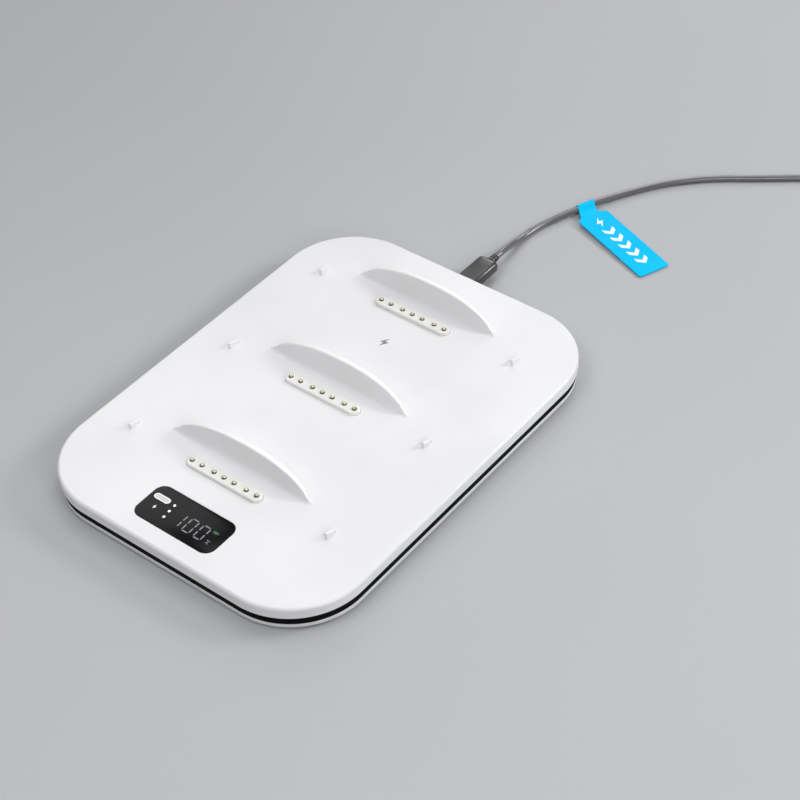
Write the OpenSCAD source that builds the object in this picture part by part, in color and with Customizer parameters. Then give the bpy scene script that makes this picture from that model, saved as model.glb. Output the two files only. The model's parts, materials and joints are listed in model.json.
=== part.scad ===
// Three-bay charging dock for flat battery packs, with a USB-C lead and a flag label on the lead.
// Frame: +Z up, z = 0 under the feet, x and y centred on the plate, display edge at -Y, socket at +Y.

/* [Plate] */
// Width of the plate, side to side
plate_w = 145; // [140:1:150]
// Length of the plate, display edge to socket edge
plate_l = 197; // [192:1:202]
// Radius of the plate's corners in plan
corner_r = 32.5; // [30:0.5:34]
// Height of the flat top face above the table
top_z = 12; // [12:0.1:12.4]
// Thickness of the top skin
skin = 2; // [1.8:0.1:2.2]
// Thickness of the top cover's side wall
wall = 3; // [2.8:0.1:3.2]
// Radius of the rounded edge round the top face
edge_r = 1.4; // [1:0.1:1.8]
// Height of the top cover's side wall
cover_side_h = 5.2; // [5:0.1:5.4]
// Height of the recessed black band
band_h = 3.6; // [3.4:0.1:3.7]
// How far the band sits in from the cover's side
band_inset = 0.6; // [0.5:0.1:0.8]
// How far the base's lip sits in from the cover's side
lip_inset = 0.4; // [0.3:0.1:0.5]
// Height that the rubber feet stand out under the base
foot_gap = 1.2; // [1:0.1:1.3]
// Thickness of the base floor
base_floor = 1.6; // [1.4:0.1:1.8]

/* [Bays] */
// Sideways place of the three bays
bay_x = -3.6; // [-4:0.1:-3.2]
// Lengthwise place of the middle row of contacts
mid_row_y = 3.45; // [3:0.05:3.9]
// Distance from one bay's contacts to the next
bay_pitch = 59.8; // [58:0.1:60]
// Distance between neighbouring contacts of a group
pin_pitch = 5.2; // [5:0.1:5.3]
// Distance between the groups of 2, 3 and 2 contacts
group_pitch = 6.3; // [6:0.1:6.5]
// Length of the raised contact strip
strip_l = 38.2; // [38:0.1:39]
// Width of the raised contact strip
strip_w = 5.6; // [5.2:0.1:6]
// Height of the contact strip over the top face
strip_h = 1.4; // [1.2:0.1:1.6]
// Height of a plunger's tip over its strip
pin_out = 1; // [0.9:0.1:1.1]

/* [Fins and posts] */
// Half the length of a fin, side to side
fin_half = 34.6; // [33:0.1:36]
// Height of a fin at its middle
fin_h = 10.2; // [9.5:0.1:11]
// Distance from the contacts to the fin's front foot
fin_front = 9.85; // [9.5:0.05:10.5]
// How far the fin's crest leans back from its foot
fin_lean = 2.2; // [2:0.1:3]
// Thickness of the fin along its crest
fin_t = 2.4; // [2:0.1:3]
// Distance from the posts' middle line to each locating post
post_x = 51; // [50:0.5:52]
// How far the posts' middle line sits to the right of the contacts'
post_shift = 0.8; // [0:0.1:1]
// How far a post's upright front sits behind the contacts' line
post_back = -0.75; // [-1:0.05:0]
// Length of a locating post
post_l = 5.3; // [5:0.1:6]
// Height of a locating post at its front
post_h = 2.8; // [2.4:0.1:3]
// Thickness of a locating post
post_t = 1.5; // [1.3:0.1:1.7]

/* [Display] */
// Sideways middle of the display lens
lens_x = -2; // [-2.4:0.1:-1.6]
// Lengthwise middle of the display lens
lens_y = -80.8; // [-81.2:0.1:-80.4]
// Width of the lens
lens_w = 40.2; // [39:0.1:41]
// Length of the lens
lens_l = 18.6; // [18:0.1:19]
// Corner radius of the lens
lens_r = 4.5; // [4:0.1:5]

/* [Lead] */
// Diameter of the lead
cord_d = 3; // [2.8:0.1:3]
// Sideways place of the socket and plug
port_x = -3; // [-3.2:0.1:-2.8]
// Height of the socket's middle over the table
port_z = 5.8; // [5.7:0.1:5.9]
// Length of the plug's moulded grip
grip_l = 19; // [18.6:0.1:19.2]
// Width of the plug's moulded grip
grip_w = 10.4; // [10:0.1:11]
// Thickness of the plug's moulded grip
grip_t = 5.8; // [5.6:0.1:5.8]
// Length of the strain relief behind the grip
relief_l = 4.8; // [4.7:0.1:4.8]

/* [Hidden] */
$fn = 48;
eps = 0.01;

// Heights, from the table up
base_z = foot_gap;
floor_z = base_z + base_floor;
side_z = top_z - cover_side_h;
band_z = side_z - band_h;
band_back = 4.4;
ceil_z = top_z - skin;
board_z = 4;
board_t = 1.2;
board_top = board_z + board_t;
strip_z = top_z + strip_h;

// Rows of contacts, front to rear, and the contacts' places along a row
rows = [mid_row_y - bay_pitch, mid_row_y, mid_row_y + bay_pitch];
pin_xs = [
    -pin_pitch - group_pitch - pin_pitch, -pin_pitch - group_pitch, -pin_pitch, 0,
    pin_pitch, pin_pitch + group_pitch, pin_pitch + group_pitch + pin_pitch
];

// Contact plunger, barrel and spring
pin_r = 0.9;
collar_r = 1.1;
collar_h = 1.2;
barrel_r = 1.5;
barrel_bore = 1.15;
lip_bore = 0.95;
lip_t = 0.5;
barrel_floor = 0.6;
barrel_top = strip_z - 0.6;
collar_top = barrel_top - lip_t - 0.05;
strip_bore = 1.05;
wire_r = 0.13;
spring_r = 0.8;
spring_turns = 4;

// Screws that hold the shells together
screw_xs = [-61, 61];
screw_ys = [-52, 0, 52];
boss_r = 3.2;
pilot_r = 1.15;
shank_r = 1.1;
head_r = 2.4;
boss_z = 4;

// Main board
board_w = 54;
board_front = -66;
board_rear = 92;
post_ys = [-40, 40];
post_dx = 23.5;

// Rubber feet
foot_x = 48;
foot_y = 74;
foot_r = 7;
foot_t = 2;

// Display: the lens's seat, the mask under it, and its fixings either side of the middle
lens_z = top_z - 1.2;
mask_z = 8.3;
lens_boss_x = 20.5;

// USB-C socket and plug
shell_w = 8.94;
shell_h = 3.16;
mouth_w = 8.34;
mouth_h = 2.56;
plug_w = 8.25;
plug_h = 2.4;
plug_t = 0.3;
plug_in = 6.2;
socket_l = 7.4;
socket_face = plate_l / 2 - 0.3;
socket_back = socket_face - socket_l;
bezel_w = 15;
bezel_top = 9;
grip_face = plate_l / 2 + 0.4;
grip_end = grip_face + grip_l;
cord_y = grip_end + relief_l;
relief_r = 2.4;

// The lead's route over the table, from the strain relief to the coil
cord_r = cord_d / 2;
route = [
    [-3, cord_y, port_z], [-3, 124.5, port_z], [-3, 126.5, port_z], [-3.3, 131, 5], [-3.8, 136, 3.6],
    [-4.2, 141, 2.3], [-4.2, 147, 1.6], [-3.2, 155, 1.5], [-0.6, 164, 1.6], [3.9, 174.8, 2.1],
    [6.2, 180.5, 2.1], [8.6, 186.2, 2.1], [16.8, 202, 1.5], [26, 216, 1.5], [36, 227, 1.5],
    [46, 235.5, 1.5], [58, 244, 1.5], [75, 256.3, 1.5], [88, 265, 1.5], [100, 273, 1.5]
];
coil_at = [113, 254];
coil_in = 11.5;
coil_out = 23;
coil_h = 2 * cord_d;
tail = [[136, 254, 4.5], [136, 249, 4.2], [136, 244, 3.3], [136, 240, 3], [136, 238, 3], [136, 236, 3]];
far_plug_at = [136, 236, 3];

// Flag label round the lead; its body sits a little askew on its neck
tag_at = [6.2, 180.5, 2.1];
tag_turn = -22;
tag_tilt = 1.5;
tag_t = 0.6;
tag_neck_w = 8.8;
tag_neck_l = 5.5;
tag_neck_slip = -2;
tag_shoulder = 8.5;
tag_body_w = 15.6;
tag_body_slip = -1.5;
tag_end = 54;
sleeve_r = 2;
sleeve_bore = 1.6;

// ---- shapes ----

module rrect(w, l, r) {
    square([w - 2 * r, l], center = true);
    square([w, l - 2 * r], center = true);
    for (sx = [-1, 1], sy = [-1, 1])
        translate([sx * (w / 2 - r), sy * (l / 2 - r)]) circle(r);
}

module slot2d(w, h) {
    square([w - h, h], center = true);
    for (s = [-1, 1])
        translate([s * (w - h) / 2, 0]) circle(h / 2);
}

// Half of a side profile, from the axis out to r, with its top outer edge rounded
module edge_profile(r, h, f) {
    square([r, h - f]);
    square([r - f, h]);
    translate([r - f, h - f]) circle(f);
}

// Slab with round corners in plan and a rounded top edge
module soft_slab(w, l, r, h, f) {
    translate([-w / 2 + r, -l / 2 + r, 0]) cube([w - 2 * r, l - 2 * r, h]);
    for (sx = [-1, 1], sy = [-1, 1])
        translate([sx * (w / 2 - r), sy * (l / 2 - r), 0]) rotate_extrude() edge_profile(r, h, f);
    for (a = [0, 180]) {
        rotate(a) translate([w / 2 - r, l / 2 - r, 0])
            rotate([90, 0, 0]) linear_extrude(l - 2 * r) edge_profile(r, h, f);
        rotate(a + 90) translate([l / 2 - r, w / 2 - r, 0])
            rotate([90, 0, 0]) linear_extrude(w - 2 * r) edge_profile(r, h, f);
    }
}

// Upright ring that follows the plate's outline, between two insets
module plate_ring(outer, inner, h) {
    linear_extrude(h) difference() {
        rrect(plate_w - 2 * outer, plate_l - 2 * outer, corner_r - outer);
        rrect(plate_w - 2 * inner, plate_l - 2 * inner, corner_r - inner);
    }
}

// Shape drawn in y and z, extruded along x over a width w centred on x = 0
module along_x(w) {
    translate([-w / 2, 0, 0]) rotate([90, 0, 90]) linear_extrude(w) children();
}

// Shape drawn in x and z, extruded from y = 0 to y = l
module along_y(l) {
    translate([0, l, 0]) rotate([90, 0, 0]) linear_extrude(l) children();
}

module at_screws() {
    for (x = screw_xs, y = screw_ys)
        translate([x, y, 0]) children();
}

module at_posts() {
    for (s = [-1, 1], y = post_ys)
        translate([bay_x + s * post_dx, y, 0]) children();
}

// ---- swept tubes ----

function unit(v) = v / norm(v);
function bend(p, i) =
    let (a = p[max(i - 1, 0)], b = p[min(i + 1, len(p) - 1)]) unit(b - a);
function ring(c, d, r, n) =
    let (u = unit(cross(d, [0, 0, 1])), v = cross(u, d))
    [for (k = [0 : n - 1]) c + r * (cos(360 * k / n) * u + sin(360 * k / n) * v)];
// Smooth curve through hand-set points, cut into n steps a span
function spline_at(a, b, c, d, t) =
    0.5 * (2 * b + (c - a) * t + (2 * a - 5 * b + 4 * c - d) * t * t + (3 * b - a - 3 * c + d) * t * t * t);
function smooth(p, n) = [
    for (i = [0 : len(p) - 2], k = [0 : n - 1])
        spline_at(p[max(i - 1, 0)], p[i], p[i + 1], p[min(i + 2, len(p) - 1)], k / n),
    p[len(p) - 1]
];

module sweep(p, r, n) {
    m = len(p);
    points = [for (i = [0 : m - 1]) each ring(p[i], bend(p, i), r, n)];
    sides = [
        for (i = [0 : m - 2], k = [0 : n - 1])
            let (a = i * n + k, b = i * n + (k + 1) % n)
            each [[a, b, b + n], [a, b + n, a + n]]
    ];
    caps = [[for (k = [n - 1 : -1 : 0]) k], [for (k = [0 : n - 1]) (m - 1) * n + k]];
    polyhedron(points = points, faces = concat(sides, caps), convexity = 10);
}

// ---- shells ----

// Height of a fin's crest at u, from -1 at one end to 1 at the other, as a share of the whole
function crest(u) = pow(max(1 - pow(abs(u), 2.4), 0), 0.64);

// Curved ridge: its front view, its side view and its plan, cut from one another
module fin() {
    steps = 14;
    us = [for (i = [-steps : steps]) i / steps];
    skirt = 2.4 * fin_t;
    intersection() {
        along_y(fin_lean + skirt) polygon(concat(
            [[fin_half, -skin / 2], [-fin_half, -skin / 2]],
            [for (u = us) [fin_half * u, fin_h * crest(u)]]
        ));
        along_x(2 * fin_half) polygon([
            [0, -skin / 2], [0, 0], [fin_lean, fin_h + eps], [fin_lean + fin_t, fin_h + eps],
            [fin_lean + skirt, 0], [fin_lean + skirt, -skin / 2]
        ]);
        translate([0, 0, -skin / 2]) linear_extrude(fin_h + skin)
            polygon([for (u = us) [fin_half * u, fin_lean * crest(u) + skirt * pow(crest(u), 0.7)]]);
    }
}

module locating_post() {
    along_x(post_t) polygon([
        [0, -skin / 2], [0, post_h], [post_l, post_h / 2], [post_l, -skin / 2]
    ]);
}

module lens_place() {
    translate([lens_x, lens_y, 0]) children();
}

module top_cover() {
    color("#f2f2f4") difference() {
        union() {
            difference() {
                translate([0, 0, side_z]) soft_slab(plate_w, plate_l, corner_r, cover_side_h, edge_r);
                translate([0, 0, side_z - 1]) linear_extrude(ceil_z - side_z + 1)
                    rrect(plate_w - 2 * wall, plate_l - 2 * wall, corner_r - wall);
            }
            for (y = rows) translate([bay_x, y, top_z]) {
                translate([0, fin_front, 0]) fin();
                for (s = [-1, 1]) translate([post_shift + s * post_x, post_back, 0]) locating_post();
            }
            at_screws() translate([0, 0, boss_z]) cylinder(h = ceil_z - boss_z + eps, r = boss_r);
            lens_place() for (s = [-1, 1]) translate([s * lens_boss_x, 0, 7.2])
                cylinder(h = ceil_z - 7.2 + eps, r = 2);
        }
        at_screws() translate([0, 0, boss_z - 1]) cylinder(h = 5.6, r = pilot_r);
        lens_place() {
            translate([0, 0, lens_z]) linear_extrude(2) rrect(lens_w + 0.2, lens_l + 0.2, lens_r + 0.1);
            translate([0, 0, ceil_z - 1]) linear_extrude(3) rrect(lens_w - 4, lens_l - 4, lens_r - 2);
            for (s = [-1, 1]) translate([s * lens_boss_x, 0, 7]) cylinder(h = 2.6, r = 0.85);
        }
        for (y = rows) translate([bay_x, y, ceil_z - 1]) linear_extrude(skin + 2)
            slot2d(strip_l + 0.2, strip_w + 0.2);
        translate([port_x - bezel_w / 2 - 0.1, plate_l / 2 - 8, side_z - 1])
            cube([bezel_w + 0.2, 9, bezel_top + 0.1 - side_z + 1]);
    }
}

module port_gap() {
    translate([port_x - bezel_w / 2 - 0.1, plate_l / 2 - 8, band_z - 1]) cube([bezel_w + 0.2, 9, 8]);
}

module mid_band() {
    color("#101012") difference() {
        union() {
            translate([0, 0, band_z]) plate_ring(band_inset, band_back, band_h);
            translate([0, 0, side_z - eps]) plate_ring(wall + 0.2, band_back, 1.4);
        }
        port_gap();
    }
}

module base_cover() {
    lip = lip_inset + 3;
    color("#c9cacd") difference() {
        union() {
            translate([0, 0, base_z]) linear_extrude(base_floor)
                rrect(plate_w - 2 * lip_inset, plate_l - 2 * lip_inset, corner_r);
            translate([0, 0, base_z]) linear_extrude(band_z - base_z) difference() {
                rrect(plate_w - 2 * lip_inset, plate_l - 2 * lip_inset, corner_r);
                rrect(plate_w - 2 * lip, plate_l - 2 * lip, corner_r - 3);
            }
            at_screws() translate([0, 0, floor_z - eps]) cylinder(h = boss_z - floor_z + eps, r = 4.6);
            at_posts() translate([0, 0, floor_z - eps]) cylinder(h = board_z - floor_z + eps, r = 2.6);
        }
        at_screws() {
            translate([0, 0, base_z - 1]) cylinder(h = 2.4, r = head_r + 0.3);
            translate([0, 0, base_z]) cylinder(h = 4, r = shank_r + 0.2);
        }
        at_posts() translate([0, 0, floor_z + 0.1]) cylinder(h = 3, r = 0.85);
        for (sx = [-1, 1], sy = [-1, 1]) translate([sx * foot_x, sy * foot_y, base_z - 1])
            cylinder(h = 1 + foot_t - foot_gap, r = foot_r + 0.1);
    }
}

module port_bezel() {
    depth = 4.2;
    color("#101012") translate([port_x, socket_face - depth, 0]) difference() {
        translate([-bezel_w / 2, 0, band_z]) cube([bezel_w, depth, bezel_top - band_z]);
        translate([0, -1, port_z]) along_y(depth + 2) slot2d(shell_w + 0.1, shell_h + 0.1);
    }
}

// ---- display ----

// Lights behind the lens, as [x, y, radius] from the lens's middle
lights = [
    [-8, 3, 0.8], [-7.7, -0.4, 0.8], [-7.4, -3.7, 0.8], [-14, -2, 0.9], [-16.5, 3.2, 0.9],
    [-12.4, 3.2, 0.9], [14.4, 1.4, 1.1]
];
digit_at = [5.5, -1.3];

module display_window() {
    color("#0a0a0c") lens_place() translate([0, 0, lens_z])
        linear_extrude(1.15) rrect(lens_w, lens_l, lens_r);
}

module light_mask() {
    color("#202022") lens_place() difference() {
        translate([0, 0, mask_z]) linear_extrude(lens_z - mask_z)
            rrect(lens_w - 4.4, lens_l - 4.4, lens_r - 2.2);
        translate([digit_at[0], digit_at[1], 0]) cube([16.4, 9.4, 40], center = true);
        for (p = lights) translate([p[0], p[1], 7]) cylinder(h = 5, r = p[2]);
    }
}

module digit_module() {
    color("#303034") lens_place() translate([digit_at[0] - 8, digit_at[1] - 4.5, 7.2]) cube([16, 9, 3.4]);
}

module status_leds() {
    color("#e8e0b0") lens_place() for (p = lights)
        translate([p[0] - 0.8, p[1] - 0.4, 7.2]) cube([1.6, 0.8, 0.6]);
}

module display_board() {
    color("#1d6b3a") lens_place() translate([0, 0, 6.2]) difference() {
        linear_extrude(1) rrect(46, 18, 2);
        for (s = [-1, 1]) translate([s * lens_boss_x, 0, -1]) cylinder(h = 3, r = 1.1);
    }
}

module display_screws() {
    color("#b8bcc0") lens_place() for (s = [-1, 1]) translate([s * lens_boss_x, 0, 0]) {
        translate([0, 0, 5.2]) cylinder(h = 1, r = 1.7);
        translate([0, 0, 6.2 - eps]) cylinder(h = 3, r = 0.8);
    }
}

module flex_cable() {
    color("#c98a2b") translate([bay_x, 0, 0]) along_x(10) polygon([
        [lens_y + 2, 5.9], [lens_y + 2, 6.2], [-69.6, 6.2], [-68, 5.5], [-60, 5.5],
        [-60, board_top], [-68.2, board_top], [-69.8, 5.9]
    ]);
}

// ---- contacts ----

module contact_strip(y) {
    color("#f6f1e2") translate([bay_x, y, 0]) difference() {
        union() {
            translate([0, 0, ceil_z - eps]) linear_extrude(skin + strip_h + eps) slot2d(strip_l, strip_w);
            translate([0, 0, ceil_z - 1.2]) linear_extrude(1.2) slot2d(strip_l + 4, strip_w + 4);
        }
        for (x = pin_xs) translate([x, 0, 0]) {
            cylinder(h = barrel_top + 0.02, r = barrel_r + 0.02);
            cylinder(h = 30, r = strip_bore);
        }
    }
}

module pin_barrels(y) {
    color("#c8a24a") for (x = pin_xs) translate([bay_x + x, y, board_top]) difference() {
        cylinder(h = barrel_top - board_top, r = barrel_r);
        translate([0, 0, barrel_floor])
            cylinder(h = barrel_top - lip_t - board_top - barrel_floor, r = barrel_bore);
        cylinder(h = 20, r = lip_bore);
    }
    color("#c8a24a") for (x = pin_xs) translate([bay_x + x, y, board_top])
        cylinder(h = barrel_floor, r = lip_bore);
}

module plunger(b, i) {
    color("#d8b050") translate([bay_x + pin_xs[i - 1], rows[b - 1], 0]) {
        translate([0, 0, collar_top - collar_h]) cylinder(h = collar_h, r = collar_r);
        translate([0, 0, collar_top - eps])
            cylinder(h = strip_z + pin_out - pin_r - collar_top + eps, r = pin_r);
        translate([0, 0, strip_z + pin_out - pin_r]) rotate_extrude() intersection() {
            circle(pin_r);
            square(pin_r);
        }
    }
}

module pin_springs(y) {
    low = board_top + barrel_floor + wire_r + 0.02;
    high = collar_top - collar_h - wire_r - 0.02;
    steps = 8 * spring_turns;
    helix = [for (k = [0 : steps]) [
        spring_r * cos(45 * k), spring_r * sin(45 * k), low + (high - low) * k / steps
    ]];
    color("#b8bcc0") for (x = pin_xs) translate([bay_x + x, y, 0]) sweep(helix, wire_r, 4);
}

// ---- inside ----

module magnets() {
    color("#9aa0a6") for (y = rows, s = [-1, 1])
        translate([bay_x + s * 34 - 8, y - 5, ceil_z - 2.2]) cube([16, 10, 2.2]);
}

module main_board() {
    color("#1d6b3a") translate([bay_x, 0, board_z]) difference() {
        translate([-board_w / 2, board_front, 0]) cube([board_w, board_rear - board_front, board_t]);
        translate([port_x - bay_x - 4.8, socket_back - 0.2, -1]) cube([9.6, 20, 4]);
        for (s = [-1, 1], y = post_ys) translate([s * post_dx, y, -1]) cylinder(h = 4, r = 1);
    }
}

// Chips and coils on the board, as [x, y, width, length, height] from the bay's middle line
module board_parts() {
    parts = [
        [0, 78, 6, 6, 1], [14, 78, 6.6, 6.6, 3], [-14, 78, 6.6, 6.6, 3], [14, 30, 6.6, 6.6, 3],
        [14, -30, 6.6, 6.6, 3], [-12, 30, 5, 5, 0.9], [-12, -30, 5, 5, 0.9], [0, 18, 7, 7, 1],
        [0, 88, 4, 3, 0.8], [6, -48, 12, 4, 1.8]
    ];
    color("#2a2a2e") for (p = parts)
        translate([bay_x + p[0] - p[2] / 2, p[1] - p[3] / 2, board_top]) cube([p[2], p[3], p[4]]);
}

module board_screws() {
    color("#b8bcc0") at_posts() {
        translate([0, 0, board_top]) cylinder(h = 1, r = 1.8);
        translate([0, 0, floor_z + 0.2]) cylinder(h = board_top - floor_z - 0.2 + eps, r = 0.8);
    }
}

module base_screws() {
    color("#b8bcc0") at_screws() difference() {
        union() {
            translate([0, 0, 1.5]) cylinder(h = 1.1, r = head_r);
            translate([0, 0, 2.6 - eps]) cylinder(h = 6, r = shank_r);
        }
        translate([0, 0, 1.5]) {
            cube([2.6, 0.6, 1], center = true);
            cube([0.6, 2.6, 1], center = true);
        }
    }
}

module rubber_feet() {
    color("#2b2b2d") for (sx = [-1, 1], sy = [-1, 1]) translate([sx * foot_x, sy * foot_y, 0])
        cylinder(h = foot_t, r = foot_r);
}

// ---- socket ----

module usb_receptacle() {
    color("#b9bdc2") translate([port_x, socket_back, port_z]) difference() {
        along_y(socket_l) slot2d(shell_w, shell_h);
        translate([0, 0.4, 0]) along_y(socket_l) slot2d(mouth_w, mouth_h);
    }
}

module usb_tongue() {
    color("#1a1a1c") translate([port_x, socket_back + 0.4, port_z]) {
        along_y(1) slot2d(mouth_w - 0.02, mouth_h - 0.02);
        translate([-3.3, 1 - eps, -0.35]) cube([6.6, 4.6, 0.7]);
    }
}

// ---- lead: each plug points along -Y, with its cable end at the origin ----

module plug_body() {
    translate([0, -relief_l - grip_l, 0]) along_y(grip_l) rrect(grip_w, grip_t, 2.4);
    translate([0, -relief_l - eps, 0]) rotate([-90, 0, 0])
        cylinder(h = relief_l + eps, r1 = relief_r, r2 = cord_r + 0.2);
}

module plug_shell() {
    translate([0, -relief_l - grip_l - plug_in, 0]) difference() {
        along_y(plug_in) slot2d(plug_w, plug_h);
        translate([0, -1, 0]) along_y(plug_in + 0.6) slot2d(plug_w - 2 * plug_t, plug_h - 2 * plug_t);
    }
}

module near_plug_body() {
    color("#3a3a3d") translate([port_x, cord_y, port_z]) plug_body();
}

module near_plug_shell() {
    color("#b9bdc2") translate([port_x, cord_y, port_z]) plug_shell();
}

module far_plug_body() {
    color("#3a3a3d") translate(far_plug_at) plug_body();
}

module far_plug_shell() {
    color("#b9bdc2") translate(far_plug_at) plug_shell();
}

module cord_tube() {
    color("#4a4a4d") sweep(smooth(route, 2), cord_r, 8);
}

module cord_tail() {
    color("#4a4a4d") sweep(smooth(tail, 2), cord_r, 8);
}

module cord_coil() {
    color("#4a4a4d") translate([coil_at[0], coil_at[1], 0]) rotate_extrude()
        translate([coil_in - cord_r, 0]) square([coil_out - coil_in + cord_d, coil_h]);
}

module cable_tag() {
    neck = tag_neck_w / 2;
    body = tag_body_w / 2;
    color("#00b4f0") translate(tag_at) rotate(tag_turn) rotate([0, tag_tilt, 0]) difference() {
        union() {
            rotate([90, 0, 0]) cylinder(h = tag_neck_w, r = sleeve_r, center = true);
            translate([0, 0, -tag_t / 2]) linear_extrude(tag_t) polygon([
                [0, -neck], [tag_neck_l, tag_neck_slip - neck], [tag_shoulder, tag_body_slip - body],
                [tag_end, -body], [tag_end, body], [tag_shoulder, tag_body_slip + body],
                [tag_neck_l, tag_neck_slip + neck], [0, neck]
            ]);
        }
        rotate([90, 0, 0]) cylinder(h = tag_neck_w + 1, r = sleeve_bore, center = true);
    }
}

// ---- nodes ----

top_cover();
mid_band();
base_cover();
port_bezel();
display_window();
light_mask();
digit_module();
status_leds();
display_board();
display_screws();
flex_cable();
contact_strip(rows[0]);  // contact_strip_1
contact_strip(rows[1]);  // contact_strip_2
contact_strip(rows[2]);  // contact_strip_3
pin_barrels(rows[0]);  // pin_barrels_1
pin_barrels(rows[1]);  // pin_barrels_2
pin_barrels(rows[2]);  // pin_barrels_3
pin_springs(rows[0]);  // pin_springs_1
pin_springs(rows[1]);  // pin_springs_2
pin_springs(rows[2]);  // pin_springs_3
for (b = [1 : 3], i = [1 : 7])
    plunger(b, i);
magnets();
main_board();
board_parts();
board_screws();
usb_receptacle();
usb_tongue();
base_screws();
rubber_feet();
near_plug_body();
near_plug_shell();
cord_tube();
cord_coil();
cord_tail();
far_plug_body();
far_plug_shell();
cable_tag();
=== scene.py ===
"""Looks for the three-bay charging dock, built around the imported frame.

Shells, display, contact strips with their springs, lead and label.
"""
import json
import math

import bmesh
import bpy
from mathutils import Matrix, Vector


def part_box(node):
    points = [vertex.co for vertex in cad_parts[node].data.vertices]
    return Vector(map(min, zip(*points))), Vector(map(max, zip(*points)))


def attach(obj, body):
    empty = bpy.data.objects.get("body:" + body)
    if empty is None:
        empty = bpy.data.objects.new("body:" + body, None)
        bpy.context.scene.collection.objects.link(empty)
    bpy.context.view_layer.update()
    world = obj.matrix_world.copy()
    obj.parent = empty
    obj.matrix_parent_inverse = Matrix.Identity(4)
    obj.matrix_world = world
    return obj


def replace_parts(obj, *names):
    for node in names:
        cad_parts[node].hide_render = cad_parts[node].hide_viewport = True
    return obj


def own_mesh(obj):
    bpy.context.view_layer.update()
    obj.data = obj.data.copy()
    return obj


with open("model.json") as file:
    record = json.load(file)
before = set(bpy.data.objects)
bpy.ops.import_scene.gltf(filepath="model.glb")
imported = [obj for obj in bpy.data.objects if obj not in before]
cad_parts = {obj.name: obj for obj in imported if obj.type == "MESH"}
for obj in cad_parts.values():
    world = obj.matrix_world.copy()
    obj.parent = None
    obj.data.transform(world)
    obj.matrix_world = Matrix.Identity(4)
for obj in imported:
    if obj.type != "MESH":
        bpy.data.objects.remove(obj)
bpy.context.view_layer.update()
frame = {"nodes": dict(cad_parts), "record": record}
SCENE = bpy.context.scene
MM = 0.001

# ---- sizes, in metres, read from the frame where a CAD node shows them ----
# SEAM: gap round a piece let into the cover; RIM: eased edge of such a pocket;
# ROOT: how far bosses run into the skin that carries them; PAST: how far a cutter runs out of what it
# cuts; SHARP_ANGLE: degrees.

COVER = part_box("top_cover")
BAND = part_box("mid_band")
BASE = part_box("base_cover")
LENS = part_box("display_window")
STRIPS = [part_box("contact_strip_%d" % i) for i in (1, 2, 3)]
PLATE_W = COVER[1].x - COVER[0].x
PLATE_L = COVER[1].y - COVER[0].y
CORNER_R = 32.5 * MM
TOP_Z = 12 * MM
SIDE_Z = 6.8 * MM
BAND_Z = BAND[0].z
BASE_Z = BASE[0].z
SKIN = 2 * MM
CEILING = TOP_Z - SKIN
WALL = 3 * MM
EDGE_R = 1.4 * MM
FIN_H = COVER[1].z - TOP_Z
FIN_HALF = 34.6 * MM
FIN_FRONT = 9.85 * MM
FIN_LEAN = 2.2 * MM
FIN_THICK = 2.4 * MM
POST_X = 51 * MM
POST_SHIFT = 0.8 * MM
POST_BACK = -0.75 * MM
POST_L = 5.3 * MM
POST_H = 2.8 * MM
POST_T = 1.5 * MM
BAY_X = (STRIPS[0][0].x + STRIPS[0][1].x) / 2
ROWS = [(low.y + high.y) / 2 for low, high in STRIPS]
STRIP_TOP = STRIPS[0][1].z
STRIP_L = 38.2 * MM
STRIP_W = 5.6 * MM
PIN_XS = [x * MM for x in (-16.7, -11.5, -5.2, 0, 5.2, 11.5, 16.7)]
LENS_AT = (LENS[0] + LENS[1]) / 2
LENS_W = LENS[1].x - LENS[0].x
LENS_L = LENS[1].y - LENS[0].y
LENS_R = 4.5 * MM
LENS_TOP = LENS[1].z
PORT = Vector((-3 * MM, 98.2 * MM, 5.8 * MM))
CORD_R = 1.5 * MM
RELIEF_L = 4.8 * MM
GRIP_L = 19 * MM
SEAM = 0.1 * MM
RIM = 0.12 * MM
ROOT = 0.5 * MM
PAST = 1 * MM
SHARP_ANGLE = 32


# ---- camera ----

def make_camera():
    """85 mm lens, looking down at the plate's front right corner, turned a little about its own axis."""
    azimuth, elevation, roll = (math.radians(a) for a in (39.95, 42.96, 2.94))
    distance, pan_x, pan_y = 0.7634, 0.03075, -0.0003
    back = Vector((
        math.sin(azimuth) * math.cos(elevation),
        -math.cos(azimuth) * math.cos(elevation),
        math.sin(elevation),
    ))
    right = Vector((math.cos(azimuth), math.sin(azimuth), 0))
    up = back.cross(right)
    place = Vector((0, 0, TOP_Z)) + distance * back + pan_x * right + pan_y * up
    cam_x = math.cos(roll) * right - math.sin(roll) * up
    cam_y = math.sin(roll) * right + math.cos(roll) * up
    data = bpy.data.cameras.new("camera")
    data.lens = 85
    data.sensor_width = 36
    data.clip_start = 0.01
    camera = bpy.data.objects.new("camera", data)
    turn = Matrix((cam_x, cam_y, back)).transposed().to_4x4()
    camera.matrix_world = Matrix.Translation(place) @ turn
    SCENE.collection.objects.link(camera)
    SCENE.camera = camera


make_camera()


# ---- materials ----

MIX_A, MIX_B, MIX_OUT = 6, 7, 2  # colour sockets of a Mix node


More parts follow.
